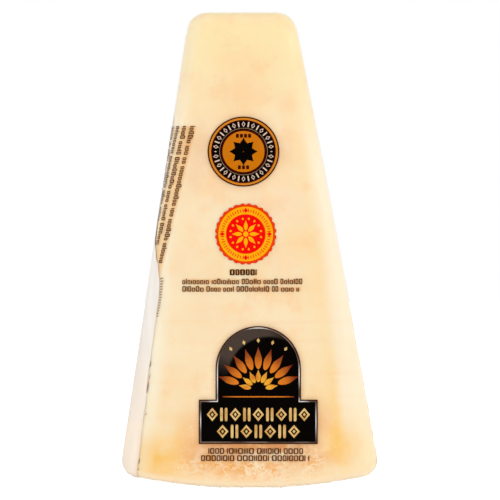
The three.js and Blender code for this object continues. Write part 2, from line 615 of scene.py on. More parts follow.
def cheese_foot(graph, place, colour):
    """The tan zone over the rind, amber lower down, with a lace of whitish crumbs in it."""
    zone = graph.spot(place, (2 * MM, 0, 9.5 * MM), (36 * MM, 60 * MM, 11 * MM))
    patch = graph.noise(place, 3.6 * MM, 4.0, stretch=(0.8, 1.0, 1.0), roughness=0.62)
    tan_share = graph.times(graph.fit(zone, 0.0, 0.55), graph.fit(patch, 0.34, 0.6, 0.25, 1.0))
    tan = graph.blend(graph.fit(rind_depth(graph, place), 11 * MM, 6 * MM), FOOT_TAN, FOOT_AMBER)
    colour = graph.blend(tan_share, colour, tan)
    band = graph.spot(place, (1 * MM, 0, 6.5 * MM), (40 * MM, 60 * MM, 8.5 * MM))
    grain = graph.noise(place, 2.0 * MM, 5.0, stretch=(0.8, 1.0, 1.25), roughness=0.7)
    lace = graph.apart(graph.noise(place, 2.6 * MM, 4.0, stretch=(0.8, 1.0, 1.2), roughness=0.6), 0.5)
    crumbs = graph.largest(graph.fit(grain, 0.5, 0.64, 0.0, 0.85), graph.fit(lace, 0.035, 0.01))
    clump = graph.fit(graph.noise(place, 7 * MM, 2.0, stretch=(1.0, 1.0, 1.3)), 0.4, 0.58, 0.3, 1.0)
    return graph.blend(graph.times(crumbs, clump, graph.fit(band, 0.0, 0.4)), colour, CRUMB)


def front_tints(graph, place, colour):
    """Soft tints that belong to one place on the front: peach clouds, amber stains and painted shade beside
    the badge.
    """
    uneven = graph.fit(graph.noise(place, 7 * MM, 4.0, roughness=0.6), 0.3, 0.62, 0.5, 1.0)
    for tint, (x, z), (width, height), strength in FRONT_TINTS:
        centre = (x * MM, FACE_Y, z * MM)
        share = graph.spot(place, centre, (width * MM, 13 * MM, height * MM))
        colour = graph.blend(graph.times(share, strength, uneven), colour, tint)
    return colour


def painted_edge_light(graph, place, colour):
    """Painted light: the paler cheese along both rounded edges, where they catch the light, wider low down
    and fainter at the foot.
    """
    x, y, z = graph.split(place)
    width = graph.fit(z, 100 * MM, 15 * MM, 6.0 * MM, 10.4 * MM)
    waver = graph.times(graph.noise(place, 12 * MM, 3.0), 1.6 * MM)
    foot = graph.fit(z, 8 * MM, 32 * MM, 0.3, 1.0)
    tip_left = graph.fit(z, 134 * MM, 104 * MM, 0.35, 1.0)
    tip_right = graph.fit(z, 126 * MM, 96 * MM, 0.1, 1.0)
    front = graph.fit(y, -3 * MM, -12 * MM, 0.25, 1.0)
    edges = (
        (inside_left(graph, x, z), tip_left, LEFT_EDGE_LIGHT),
        (inside_right(graph, x, z), tip_right, RIGHT_EDGE_LIGHT),
    )
    for inside, tip, cream in edges:
        past = graph.minus(graph.plus(inside, waver), width)
        share = graph.fit(past, 1.8 * MM, -3.2 * MM, 0.0, 0.85)
        colour = graph.blend(graph.times(share, foot, tip, front), colour, cream)
    return colour


def painted_foot_light(graph, place, colour):
    """Painted light: the rim along the foot, paled as if the floor lit it from below."""
    rim = graph.fit(rind_depth(graph, place), 3.2 * MM, 1.0 * MM)
    return graph.blend(graph.times(rim, 0.8), colour, FOOT_LIGHT)


def print_shade(graph, place, colour):
    """Painted shade: the soft dusk in the cheese round the dark print, where the print keeps the light off
    it.
    """
    x, y, z = graph.split(place)

    def shaded(away, reach):
        return graph.fit(away, reach + SHADE_REACH, reach - SHADE_REACH / 2)

    shares = []
    for centre, half, strength in SHADED_FIELDS:
        across = shaded(graph.apart(x, centre[0]), half[0])
        up = shaded(graph.apart(z, centre[1]), half[1])
        shares.append(graph.times(across, up, strength))
    flat = graph.add("ShaderNodeCombineXYZ", {0: x, 1: 0.0, 2: z}).outputs[0]
    for centre, radius, strength in SHADED_DISCS:
        away = graph.distance(flat, (centre[0], 0, centre[1]))
        shares.append(graph.times(shaded(away, radius), strength))
    front = graph.fit(y, 0.0, -HALF_THICKNESS / 2)
    return graph.blend(graph.times(graph.largest(*shares), front), colour, PAINTED_PRINT_SHADE, "MULTIPLY")


def print_veil_shade(graph, place, colour):
    """Painted shade: the warm veil that rows of small brown print cast over the cheese between their strokes.
    """
    x, y, z = graph.split(place)

    def between(value, low, high):
        return graph.times(graph.fit(value, low - VEIL_EDGE, low), graph.fit(value, high + VEIL_EDGE, high))

    shares = []
    for ends, foot_and_top, strength in VEILED_ROWS:
        shares.append(graph.times(between(x, *ends), between(z, *foot_and_top), strength))
    below = graph.minus(MARGIN_TOP, z)
    leaning = graph.plus(inside_left(graph, x, z), graph.times(below, MARGIN_DRIFT))
    inside = graph.fit(leaning, MARGIN_VEIL + 2 * VEIL_EDGE, MARGIN_VEIL)
    tall = graph.times(graph.fit(z, 60 * MM, 64 * MM), graph.fit(below, -0.4 * MM, 0.6 * MM))
    towards_edge = graph.fit(leaning, 1.5 * MM, 4.0 * MM, 0.3, 0.85)
    shares.append(graph.times(inside, tall, towards_edge))
    front = graph.fit(y, 4 * MM, -HALF_THICKNESS / 2)
    return graph.blend(graph.times(graph.largest(*shares), front), colour, PRINT_VEIL_SHADE, "MULTIPLY")


def craggy_sides(graph, place, colour):
    """The broken grain of the sides and the tip: cracks, pits and a tan foot. Puts out the cracks too."""
    x, y, z = graph.split(place)
    nearest = graph.smallest(inside_left(graph, x, z), inside_right(graph, x, z), graph.minus(HEIGHT, z))
    side = graph.times(graph.fit(nearest, 1.6 * MM, 0.3 * MM), graph.fit(y, -10.5 * MM, -7 * MM))
    patch = graph.noise(place, 11 * MM, 5.0, roughness=0.65)
    colour = graph.blend(graph.times(graph.fit(patch, 0.42, 0.66, 0.0, 0.55), side), colour, SIDE_OCHRE)
    pale = graph.noise(place, 5 * MM, 5.0, stretch=(1.0, 1.0, 1.4), roughness=0.7)
    colour = graph.blend(graph.times(graph.fit(pale, 0.52, 0.66, 0.0, 0.7), side), colour, CRUMB)
    ridge = graph.apart(graph.noise(place, 6 * MM, 4.0, roughness=0.7), 0.5)
    line = graph.times(graph.fit(ridge, 0.022, 0.004), graph.fit(patch, 0.4, 0.6, 0.25, 1.0))
    pit = graph.fit(graph.noise(place, 1.5 * MM, 3.0, roughness=0.65), 0.62, 0.72)
    cracks = graph.times(graph.largest(line, pit), side)
    colour = graph.blend(graph.times(cracks, 0.45), colour, TAN)
    low = graph.fit(rind_depth(graph, place), 9 * MM, 0.5 * MM, 0.0, 0.85)
    return graph.blend(graph.times(low, side), colour, SIDE_OCHRE), cracks


def cheese_rind(graph, place, colour):
    """The golden brown rind, which is only as thick as a fingernail where the wedge was cut."""
    ragged = graph.times(graph.noise(place, 3 * MM, 3.0), 0.6 * MM)
    share = graph.fit(graph.plus(rind_depth(graph, place), ragged), 0.4 * MM, 0.2 * MM)
    tone = graph.blend(graph.fit(graph.noise(place, 3.5 * MM, 5.0), 0.35, 0.65), RIND, RIND_DARK)
    return graph.blend(share, colour, tone)


GRAIN_HEIGHT = 0.07 * MM
WIRE_HEIGHT = 0.1 * MM
CRACK_DEPTH = 0.35 * MM
FLESH_REACH = 1.7 * MM
FLESH_TINT = (1.0, 0.8, 0.62)


def make_cheese_material():
    """Hard cream-coloured cheese: cloudy, wire-cut, crystalline, a little translucent, with painted light and
    shade in its colour.
    """
    material, graph, place = new_material("aged cheese")
    colour = cheese_clouds(graph, place)
    # Among these layers: painted light along the edges and the foot, painted shade round and behind the print
    for tinted in (cheese_foot, front_tints, painted_edge_light, painted_foot_light, print_shade, print_veil_shade):
        colour = tinted(graph, place, colour)
    colour, cracks = craggy_sides(graph, place, colour)

    wire = graph.noise(place, 10 * MM, 2.0, stretch=(0.22, 0.3, 7.0))
    cut_zone = graph.spot(place, (0, FACE_Y, 38 * MM), (60 * MM, 60 * MM, 34 * MM))
    lines = graph.times(graph.fit(wire, 0.5, 0.72, 0.0, 0.3), cut_zone)
    colour = graph.blend(lines, colour, PEACH)
    crystal = graph.noise(place, 1.9 * MM, 2.0)
    colour = graph.blend(graph.fit(crystal, 0.68, 0.76, 0.0, 0.5), colour, CRUMB)
    colour = cheese_rind(graph, place, colour)

    grain = graph.noise(place, 0.9 * MM, 3.0)
    relief = graph.plus(graph.times(grain, GRAIN_HEIGHT), graph.times(lines, WIRE_HEIGHT))
    relief = graph.minus(relief, graph.times(cracks, CRACK_DEPTH))
    flesh = {"Subsurface_Weight": 0.7, "Subsurface_Radius": FLESH_TINT, "Subsurface_Scale": FLESH_REACH}
    roughness = graph.fit(grain, 0.3, 0.7, 0.5, 0.66)
    solid_surface(graph, colour, roughness, 0.25, Normal=graph.bump(relief, 0.5), **flesh)
    return material


# Film and ink -----------------------------------------------------------------

FILM_GLOSS = 0.15
FILM_IOR = 1.4
FILM_SHINE = (1.0, 0.93, 0.82, 1.0)
INK_GLOSS = 0.12
WHITE_CREASE = 0.18 * MM

BLACK = paint(6, 3, 2)
DOME_SHEEN = paint(70, 58, 50)

# Plain inks: colour, and how unevenly each lies
PLAIN_INKS = {
    "black": (BLACK, 0.0),
    "dark brown": (paint(56, 14, 0), 0.03),
    "maroon": (paint(62, 6, 0), 0.0),
    "brown": (paint(92, 44, 0), 0.04),
    "amber": (paint(196, 110, 0), 0.02),
    "pale amber": (paint(202, 122, 30), 0.02),
    "cream": (paint(216, 186, 166), 0.06),
    "orange": (paint(226, 58, 0), 0.01),
    "yellow": (paint(250, 168, 0), 0.01),
    "red": (paint(238, 2, 0), 0.0),
    "pale brown": (paint(150, 112, 80), 0.3),
    "seam mark": (paint(152, 120, 102), 0.4),
}

# Gold inks: a light tone and a deeper one
GOLD_INKS = {
    "gold": (paint(224, 186, 116), paint(200, 150, 78)),
    "bright gold": (paint(232, 164, 36), paint(206, 118, 20)),
}


def rippled_normal(graph, place, waves, strength=0.5, relief=0.0):
    """The normal of film that ripples, over a relief of its own."""
    ripple = graph.add("ShaderNodeGroup", {"Place": place, "Relief": relief}, node_tree=waves)
    return graph.bump(ripple.outputs["Height"], strength)


def make_film_material(waves):
    """Clear film: it lets light straight through and mirrors more of it where it is seen aslant."""
    material, graph, place = new_material("clear film")
    normal = rippled_normal(graph, place, waves)
    mirror = graph.add("ShaderNodeFresnel", {"IOR": FILM_IOR, "Normal": normal}).outputs[0]
    inside = graph.add("ShaderNodeNewGeometry").outputs["Backfacing"]
    share = graph.times(mirror, graph.minus(1.0, inside))
    clear = graph.add("ShaderNodeBsdfTransparent", {"Color": grey(1.0)})
    shine = {"Color": FILM_SHINE, "Roughness": FILM_GLOSS, "Normal": normal}
    gloss = graph.add("ShaderNodeBsdfAnisotropic", shine)
    end_with(graph, graph.add("ShaderNodeMixShader", {0: share, 1: clear.outputs[0], 2: gloss.outputs[0]}))
    return material


def make_white_print(waves):
    """Opaque white film, faintly pink and grey where it is stretched, with long creases, and painted shade by
    the seam low down.
    """
    material, graph, place = new_material("white film")
    x, y, z = graph.split(place)
    crease = graph.noise(place, 5 * MM, 3.0, stretch=(1.0, 1.0, 0.12))
    cloud = graph.noise(place, 14 * MM, 2.0)
    colour = graph.blend(graph.fit(crease, 0.35, 0.68), paint(236, 227, 216), paint(245, 239, 231))
    low = graph.fit(z, 55 * MM, 10 * MM)
    warm = graph.times(graph.fit(cloud, 0.4, 0.65, 0.6, 1.0), low)
    colour = graph.blend(warm, colour, paint(253, 233, 210))
    # Painted shade: tan beside the seam, low down on the front
    by_seam = graph.fit(inside_left(graph, x, z), 3.4 * MM, 5.8 * MM)
    low = graph.fit(z, 34 * MM, 10 * MM, 0.0, 0.6)
    shade = graph.times(by_seam, low, graph.fit(y, 0.0, -8 * MM))
    colour = graph.blend(shade, colour, paint(238, 212, 184))
    normal = rippled_normal(graph, place, waves, 0.6, graph.times(crease, WHITE_CREASE))
    solid_surface(graph, colour, graph.fit(cloud, 0.3, 0.7, 0.3, 0.42), 0.4, Normal=normal)
    return material


def end_with_ink(graph, place, waves, grain, colour, unevenness):
    """Ends a material with ink under the gloss of the film."""
    inputs = {"Place": place, "Colour": colour, "Unevenness": unevenness}
    uneven = graph.add("ShaderNodeGroup", inputs, node_tree=grain).outputs
    normal = rippled_normal(graph, place, waves)
    solid_surface(graph, uneven["Colour"], uneven["Roughness"], INK_GLOSS, Normal=normal)


def make_ink(name, waves, grain, colour, unevenness):
    """Printed ink of one colour."""
    material, graph, place = new_material(name)
    end_with_ink(graph, place, waves, grain, colour, unevenness)
    return material


def make_dome_ink(waves, grain):
    """Black ink with the soft brown sheen that fades in from the upper left of the dome."""
    material, graph, place = new_material("sheened black ink")
    away = graph.distance(place, (SIGN_X + 3.2 * MM, FACE_Y, DOME_SPRING - 2.8 * MM))
    crescent = graph.fit(away, 12.2 * MM, 13.2 * MM)
    faded = graph.spot(place, (SIGN_X - 5 * MM, FACE_Y, DOME_SPRING + 9 * MM), (17 * MM, 40 * MM, 13 * MM))
    sheen = graph.times(crescent, graph.smallest(graph.times(faded, 2.0), 1.0))
    end_with_ink(graph, place, waves, grain, graph.blend(sheen, BLACK, DOME_SHEEN), 0.0)
    return material


def make_silver(waves):
    """A printed silver line, darker and lighter grey by stretches, with painted glints where it is bright."""
    material, graph, place = new_material("silver line")
    stretch = graph.noise(place, 9 * MM, 2.0)
    colour = graph.blend(graph.fit(stretch, 0.5, 0.66), paint(78, 62, 52), paint(124, 106, 94))
    # Painted highlights: the glints that brighten the rim
    for x, z, width, height in PAINTED_SILVER_GLINTS:
        centre = (SIGN_X + x * MM, FACE_Y, z * MM)
        glint = graph.spot(place, centre, (width * MM, 40 * MM, height * MM))
        colour = graph.blend(glint, colour, paint(224, 218, 214))
    normal = rippled_normal(graph, place, waves)
    solid_surface(graph, colour, graph.fit(stretch, 0.3, 0.7, 0.25, 0.4), 0.5, Normal=normal)
    return material


def make_fan_gold(waves):
    """Orange gold that darkens to red brown away from the foot of the fan."""
    material, graph, place = new_material("fan gold")
    glow = graph.spot(place, (FAN[0], FACE_Y, FAN[1]), (16 * MM, 16 * MM, 16 * MM))
    streak = graph.noise(place, 2.4 * MM, 3.0)
    share = graph.plus(glow, graph.times(streak, 0.25))
    colour = graph.blend(graph.fit(share, 0.12, 0.75), paint(104, 16, 4), paint(214, 116, 18))
    normal = rippled_normal(graph, place, waves)
    solid_surface(graph, colour, graph.fit(streak, 0.3, 0.7, 0.3, 0.42), 0.25, Normal=normal)
    return material


def make_gold(name, waves, light, deep):
    """Gold ink that runs in patches from a light tone to a deeper one."""
    material, graph, place = new_material(name)
    tone = graph.noise(place, 3.2 * MM, 3.0)
    colour = graph.blend(graph.fit(tone, 0.36, 0.66), light, deep)
    normal = rippled_normal(graph, place, waves)
    solid_surface(graph, colour, graph.fit(tone, 0.3, 0.7, 0.3, 0.42), 0.4, Normal=normal)
    return material


def make_inks(waves):
    """All the inks by name."""
    grain = make_print_grain()
    inks = {
        "dome": make_dome_ink(waves, grain),
        "silver": make_silver(waves),
        "fan gold": make_fan_gold(waves),
    }
    for name, (colour, unevenness) in PLAIN_INKS.items():
        inks[name] = make_ink(name + " ink", waves, grain, colour, unevenness)
    for name, (light, deep) in GOLD_INKS.items():
        inks[name] = make_gold(name + " ink", waves, light, deep)
    return inks


# The wedge's own shape --------------------------------------------------------


def cuts_at(z):
    """Where the left and right cuts are, at a height."""
    return LEFT_FOOT + LEFT_LEAN * z, RIGHT_FOOT - RIGHT_LEAN * z


def rind_rise(x):
    """How far the rind has risen above the floor, at x."""

    def arc(v):
        return WHEEL_RADIUS - math.sqrt(WHEEL_RADIUS**2 - v**2)

    return max(0.0, arc(x) - arc(STANDING_HALF))


def make_form():
    """A merged and smoothed copy of the solid, which the pieces are drawn onto and which goes at the end."""
    form = linked("form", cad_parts[WEDGE].data.copy())
    edit_all(form)
    bpy.ops.mesh.remove_doubles(threshold=0.001 * MM)
    bpy.ops.mesh.tris_convert_to_quads()
    bpy.ops.mesh.normals_make_consistent(inside=False)
    stop_edit()
    modify(form, "SUBSURF", levels=2, render_levels=2)
    return form


def make_block(name, form):
    """A tapered block cut into small squares and drawn onto the form."""
    foot_left, foot_right = cuts_at(0)
    middle = (foot_left + foot_right) / 2
    size = (foot_right - foot_left, BACK_Y - FACE_Y, HEIGHT)
    bpy.ops.mesh.primitive_cube_add(size=1, location=(middle, 0, HEIGHT / 2), scale=size)
    block = named(name)
    top_left, top_right = cuts_at(HEIGHT)
    edit_where(block, "VERT", lambda v: v.co.z > HEIGHT / 2)
    narrowing = (top_right - top_left) / (foot_right - foot_left)
    bpy.ops.transform.resize(value=(narrowing, 1, 1), center_override=(middle, 0, HEIGHT))
    bpy.ops.transform.translate(value=((top_left + top_right) / 2 - middle, 0, 0))
    stop_edit()
    for axis in range(3):
        cut_along(block, axis, BLOCK_STEP)
    draw_onto(block, form)
    on_all(block, bpy.ops.mesh.vertices_smooth, factor=0.5, repeat=SMOOTHINGS)
    draw_onto(block, form)
    return block


# The cheese -------------------------------------------------------------------

CHEESE_GAP = 0.15 * MM
CRUMB_DEPTH = 0.3 * MM
FLAKE_DEPTH = 0.5 * MM


def cheese_relief(place, normal):
    """How far the cheese stands out at a place: always a little inside the film."""
    low = 1 - smooth_step(place.z, 9 * MM, 16 * MM)
    crumb = noise.fractal(place / (1.7 * MM), 1.0, 2.0, 3)
    stretched = Vector((place.x, place.y, place.z * 1.6))
    flake = noise.fractal(stretched / (7 * MM), 0.9, 2.0, 4)
    depth = CHEESE_GAP + CRUMB_DEPTH * low * max(0.0, crumb)
    return -(depth + FLAKE_DEPTH * abs(normal.x) * abs(flake))


def make_cheese(form, material):
    """The wedge of cheese, a little smaller than the solid that it stands for."""
    cheese = make_block("cheese_wedge", form)
    move_out(cheese, cheese_relief)
    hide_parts(WEDGE)
    return finished(cheese, material)


# The film ---------------------------------------------------------------------

FILM_RIPPLE = 0.06 * MM
GATHER_REACH = 6 * MM
GATHER_PITCH = 3.4 * MM
GATHER_DEPTH = 0.11 * MM


def film_relief(place, normal):
    """Gathers that run from both ends of the film over the edges, and a slow ripple."""
    from_end = min(place.z - rind_rise(place.x), HEIGHT - place.z)
    share = 1 - smooth_step(from_end, 0.0, GATHER_REACH)
    around = place.x - place.y
    drift = noise.noise(place / (9 * MM))
    fold = math.sin(math.tau * around / GATHER_PITCH + 4 * drift)
    ripple = noise.noise(place / (22 * MM)) * FILM_RIPPLE
    return ripple + GATHER_DEPTH * share * (1 + fold) * (0.6 + 0.4 * drift)


def make_film(form, material):
    """The film that clings to the wedge all round."""
    film = make_block("film_wrap", form)
    move_out(film, film_relief)
    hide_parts(WEDGE)
    return finished(film, material)


# Flat print -------------------------------------------------------------------
#
# A model is drawn round the origin, upright and facing the front. Copies of it are stamped in front of the
# wedge, or behind it, and are then laid on the film.

PRINT_GAP = 10 * MM
UPRIGHT = (math.pi / 2, 0, 0)
FRONT = -1
BACK = 1
ROUND_CORNERS = 96
FIELD_STEP = 1.9 * MM
SOFT_CORNER = 0.14
LOZENGE_RIM = 0.15


def stamp_at(x, z, size=(1.0, 1.0), turn=0.0, side=FRONT):
    """The matrix that takes a model to a place before a face, at a size, turned clockwise."""
    y = FACE_Y - PRINT_GAP if side == FRONT else BACK_Y + PRINT_GAP
    facing = Matrix.Identity(4) if side == FRONT else Matrix.Rotation(math.pi, 4, "Z")
    turned = Matrix.Rotation(turn, 4, "Y") @ Matrix.Diagonal((size[0], 1.0, size[1], 1.0))
    return Matrix.Translation((x, y, z)) @ facing @ turned


def stamp_round(centre, radius, turn, size, side=FRONT):
    """The same on a circle round a centre, with the model's top outwards."""
    x = centre[0] + radius * math.sin(turn)
    z = centre[1] + radius * math.cos(turn)
    return stamp_at(x, z, size, turn, side)


def wreath(centre, radius, count, size, start=0.0, side=FRONT):
    """Stamps all round a circle. The first is a share of one step past the top."""
    turns = [math.tau * (i + start) / count for i in range(count)]
    return [stamp_round(centre, radius, turn, size, side) for turn in turns]


def spread(count, pitch):
    """Where stamps stand side by side, from their middle."""
    return [(i - (count - 1) / 2) * pitch for i in range(count)]


def stamped(name, model, places):
    """Copies a model to each place, joins the copies and removes the model."""
    copies = []
    for place in places:
        copy = linked(name, model.data.copy())
        copy.data.transform(place)
        copies.append(copy)
    bpy.data.objects.remove(model)
    take(copies[0])
    for copy in copies:
        copy.select_set(True)
    if len(copies) > 1:
        bpy.ops.object.join()
    joined = bpy.context.object
    joined.name = name
    joined.data.name = name
    return joined


def hollow(piece, rim):
    """Leaves only a rim of a flat face."""
    edit_all(piece)
    bpy.ops.mesh.inset(thickness=rim)
    bpy.ops.mesh.delete(type="FACE")
    stop_edit()
    return piece


def block_model(corner=SOFT_CORNER):
    """A small block of print with softened corners."""
    bpy.ops.mesh.primitive_plane_add(size=1, rotation=UPRIGHT)
    block = named("block")
    on_all(block, bpy.ops.mesh.bevel, offset=corner, affect="VERTICES", segments=1)
    return block


def frame_model(hole):
    """A hollow block, with upright sides that are thicker than its top and foot."""
    hollow = block_model()
    edit_all(hollow)
    bpy.ops.mesh.inset(thickness=0.17)
    bpy.ops.transform.resize(value=(hole, 1, 1))
    bpy.ops.mesh.delete(type="FACE")
    stop_edit()
    return hollow


def round_model(name, corners, radius=0.5):
    """A flat upright face with its corners on a circle."""
    bpy.ops.mesh.primitive_circle_add(vertices=corners, radius=radius, fill_type="NGON", rotation=UPRIGHT)
    return named(name)


def lozenge_model(rim=None):
    """A lozenge, hollow if it is given a rim."""
    lozenge = round_model("lozenge", 4)
    return hollow(lozenge, rim) if rim else lozenge


def petal_model():
    """A petal that is round at its foot and pointed at its tip."""
    petal = round_model("petal", 20)
    for vertex in petal.data.vertices:
        vertex.co.x *= 1 - 0.75 * smooth_step(vertex.co.z, -0.1, 0.5)
    return petal


def disc(name, centre, radius, side=FRONT):
    """A round field before a face."""
    field = round_model(name, ROUND_CORNERS, radius)
    field.data.transform(stamp_at(*centre, side=side))
    return field


def ring(name, centre, outer, inner, side=FRONT):
    """A ring before a face."""
    return hollow(disc(name, centre, outer, side), outer - inner)


def in_squares(piece):
    """Cuts a large flat field up into squares, so that it can follow the film."""
    for axis in (0, 2):
        places = [v.co[axis] for v in piece.data.vertices]
        low, high = min(places), max(places)
        cuts = int((high - low) / FIELD_STEP)
        for i in range(1, cuts + 1):
            point, normal = Vector(), Vector()
            point[axis] = low + (high - low) * i / (cuts + 1)
            normal[axis] = 1.0
            on_all(piece, bpy.ops.mesh.bisect, plane_co=point, plane_no=normal)
    return piece


def lay_print(skin, inks, layers, side=FRONT):
    """Lays flat pieces on the face before which they hang. With each come its level, its ink and its slot,
    which is not used.
    """
    for piece, level, ink, slot in layers:
        project_onto(piece, skin, "y", side == FRONT, level * LAYER)
        thicken(piece, INK_THICKNESS)
        printed(piece, inks[ink])


# Rows of small print ----------------------------------------------------------

# Widths of blocks and gaps, and the height of a low block, as shares of the height of a row
NARROW = 0.17
BLOCKS = (NARROW, 0.5, 0.56, 0.64)
BLOCK_GAP = 0.14
WORD_GAP = 0.36
LOW_SHARE = 0.72

SHORTEST_WORD = 2
LONGEST_WORD = 11


def word_blocks(dice, length, height, tall_share, wide=1.0):
    """Blocks in the rhythm of words along a row: the middle, width and height of each.

    A share of them is as tall as the row. All but the narrow ones are widened.
    """
    blocks = []
    start = 0.0
    left_in_word = dice.randint(SHORTEST_WORD, LONGEST_WORD)
    while True:
        share = dice.choice(BLOCKS)
        width = height * (share if share == NARROW else share * wide)
        if start + width > length:
            return blocks
        tall = dice.random() < tall_share
        blocks.append((start + width / 2, width, height if tall else LOW_SHARE * height))
        start += width + BLOCK_GAP * height
        left_in_word -= 1
        if left_in_word == 0:
            start += WORD_GAP * height
            left_in_word = dice.randint(SHORTEST_WORD, LONGEST_WORD)


def is_narrow(width, row_height):
    """Whether a block is a single stroke, which isn't hollow."""
    return width < 1.5 * NARROW * row_height


def row_places(dice, rows, tall_share=0.3, wide=1.0, side=FRONT):
    """The places of the blocks of rows, each row given as its left end, right end, foot and height."""
    places = []
    for left, right, foot, height in rows:
        for middle, width, tall in word_blocks(dice, right - left, height, tall_share, wide):
            place = stamp_at(left + middle, foot + tall / 2, (width, tall), side=side)
            places.append((is_narrow(width, height), place))
    return places


def rows_of_print(name, places, hole=0.52):
    """Joined rows of solid strokes and hollow blocks. Each place says whether it is narrow, and where.

    The hole is narrowed to a share of its width, which thickens the sides.
    """
    strokes = stamped(name + "_strokes", block_model(), [place for narrow, place in places if narrow])
    frames = stamped(name, frame_model(hole), [place for narrow, place in places if not narrow])
    take(frames)
    strokes.select_set(True)
    bpy.ops.object.join()
    return frames


# What is drawn flat and rolled round the left edge ----------------------------
#
# Flat, x is the way round from the start of the left edge's rounding, going to the back, and z is the height.

TURN = EDGE_ROUNDING * math.pi / 2
SIDE = 2 * (HALF_THICKNESS - EDGE_ROUNDING)
BACK_START = 2 * TURN + SIDE


def rolled_place(way, z):
    """The place in space of a flat place, before it is drawn onto the film."""
    arc_share = 1 - min(1.0, max(0.0, (z - END_ROUNDING) / (HEIGHT / 2 - END_ROUNDING)))
    near = min(z, HEIGHT - z)
    inset = 0.0
    if near < END_ROUNDING:
        inset = END_ROUNDING - math.sqrt(max(0.0, END_ROUNDING**2 - (END_ROUNDING - near) ** 2))
    left = cuts_at(z)[0] + inset
    thick = HALF_THICKNESS - inset
    r = EDGE_ROUNDING
    if way < 0:
        x, y = left + r - way, -thick
    elif way < TURN:
        x, y = left + r - r * math.sin(way / r), -thick + r - r * math.cos(way / r)
    elif way < TURN + SIDE:
        x, y = left, (2 * (way - TURN) / SIDE - 1) * (thick - r)
    elif way < BACK_START:
        angle = (way - TURN - SIDE) / r
        x, y = left + r - r * math.cos(angle), thick - r + r * math.sin(angle)
    else:
        x, y = left + r + way - BACK_START, thick
    return Vector((x, y, z + rind_rise(x) * arc_share))


def roll_round(piece, skin, lift):
    """Rolls a flat piece round the wedge and lays it on a skin. That mirrors it, so it is turned back."""
    for vertex in piece.data.vertices:
        vertex.co = rolled_place(vertex.co.x, vertex.co.z)
    draw_onto(piece, skin)
    on_all(piece, bpy.ops.mesh.flip_normals)
    move_out(piece, lambda place, normal: lift)


def print_rolled(piece, film, lift, material):
    """Rolls flat print round the wedge and dresses it."""
    roll_round(piece, film, lift)
    thicken(piece, INK_THICKNESS)
    printed(piece, material)


# The white lap ----------------------------------------------------------------

# The lap's free edge from the rind up: height and way round, in mm
LAP_EDGE = [
    (0, 2.4),
    (1, 0.95),
    (3, -0.75),
    (6, -1.1),
    (9.3, -1.0),
    (18, -0.6),
    (25.5, -0.5),
    (32.3, 0.15),
    (39, 0.2),
    (50, 0.45),
    (58, 0.6),
    (63, 1.15),
    (68, 2.3),
    (72, 4.2),
    (78, 7.0),
    (95, 12.0),
    (120, 19.0),
    (147, 26.0),
]
LAP_FROM_RIGHT = 1.0 * MM
LAP_LIFT = 0.1 * MM
LAP_FILM = 0.04 * MM
LAP_ROWS = 150
LAP_COLUMNS = 110
MARK_LIFT = 0.15 * MM

# Dark marks along the lap's edge: height, sideways shift, width and length, in mm
SEAM_MARKS = [
    (37.4, 0.0, 0.4, 2.6),
    (33.4, -0.3, 0.24, 2.4),
    (30.0, -0.05, 0.48, 4.6),
    (21.2, -0.3, 0.24, 1.0),
    (6.0, 0.0, 0.3, 2.2),
    (3.2, 0.1, 0.4, 0.6),
]

# The ladder of cut-off print down the lap's edge, whose rungs stand out less and less. Lengths in mm.
LADDER_TOP = 64.5
LADDER_PITCH = 0.85
LADDER_RUNGS = 15
LADDER_WIDTHS = (0.95, 0.45)
LADDER_RUNG = 0.34
LADDER_TILT = math.radians(14)


def lap_edge(z):
    """The way round of the lap's free edge at a height, with the small waver of cut film."""
    height = z / MM
    for (z0, way0), (z1, way1) in zip(LAP_EDGE, LAP_EDGE[1:]):
        if height <= z1:
            break
    way = way0 + (way1 - way0) * smooth_step(height, z0, z1)
    slow = 0.16 * noise.noise(Vector((0, 0, height / 4.3)))
    quick = 0.1 * noise.noise(Vector((5, 0, height / 1.7)))
    return (way + slow + quick) * MM


def lap_end(z):
    """The way round where the white stops, on the back by the right edge."""
    left, right = cuts_at(z)
    return BACK_START + right - left - 2 * EDGE_ROUNDING - LAP_FROM_RIGHT


def make_lap(film, material):
    """The white film that comes round from the back over the left edge."""
    bpy.ops.mesh.primitive_grid_add(
        x_subdivisions=LAP_COLUMNS, y_subdivisions=LAP_ROWS, size=1, rotation=UPRIGHT
    )
    lap = named("white_lap")
    for vertex in lap.data.vertices:
        z = (vertex.co.z + 0.5) * HEIGHT
        start, end = lap_edge(z), lap_end(z)
        vertex.co = Vector((start + (end - start) * (vertex.co.x + 0.5), 0, z))
    roll_round(lap, film, 0.0)
    on_all(lap, bpy.ops.mesh.vertices_smooth, factor=0.5, repeat=2)
    draw_onto(lap, film)
    move_out(lap, lambda place, normal: LAP_LIFT)
    thicken(lap, LAP_FILM)
    return printed(lap, material)


def make_seam(film, inks):
    """Dark marks and the ends of cut-off print along the lap's edge."""
    marks = []
    for height, shift, width, length in SEAM_MARKS:
        way = lap_edge(height * MM) + shift * MM
        marks.append(stamp_at(way, height * MM, (width * MM, length * MM)))
    print_rolled(stamped("seam_marks", petal_model(), marks), film, MARK_LIFT, inks["seam mark"])

    rungs = []
    widest, narrowest = LADDER_WIDTHS
    for i in range(LADDER_RUNGS):
        height = (LADDER_TOP - i * LADDER_PITCH) * MM
        width = (widest - (widest - narrowest) * i / LADDER_RUNGS) * MM
        size = (width, LADDER_RUNG * MM)
        rungs.append(stamp_at(lap_edge(height) - width / 2, height, size, LADDER_TILT))
    print_rolled(stamped("seam_ladder", block_model(), rungs), film, MARK_LIFT, inks["pale brown"])


# The round badge --------------------------------------------------------------

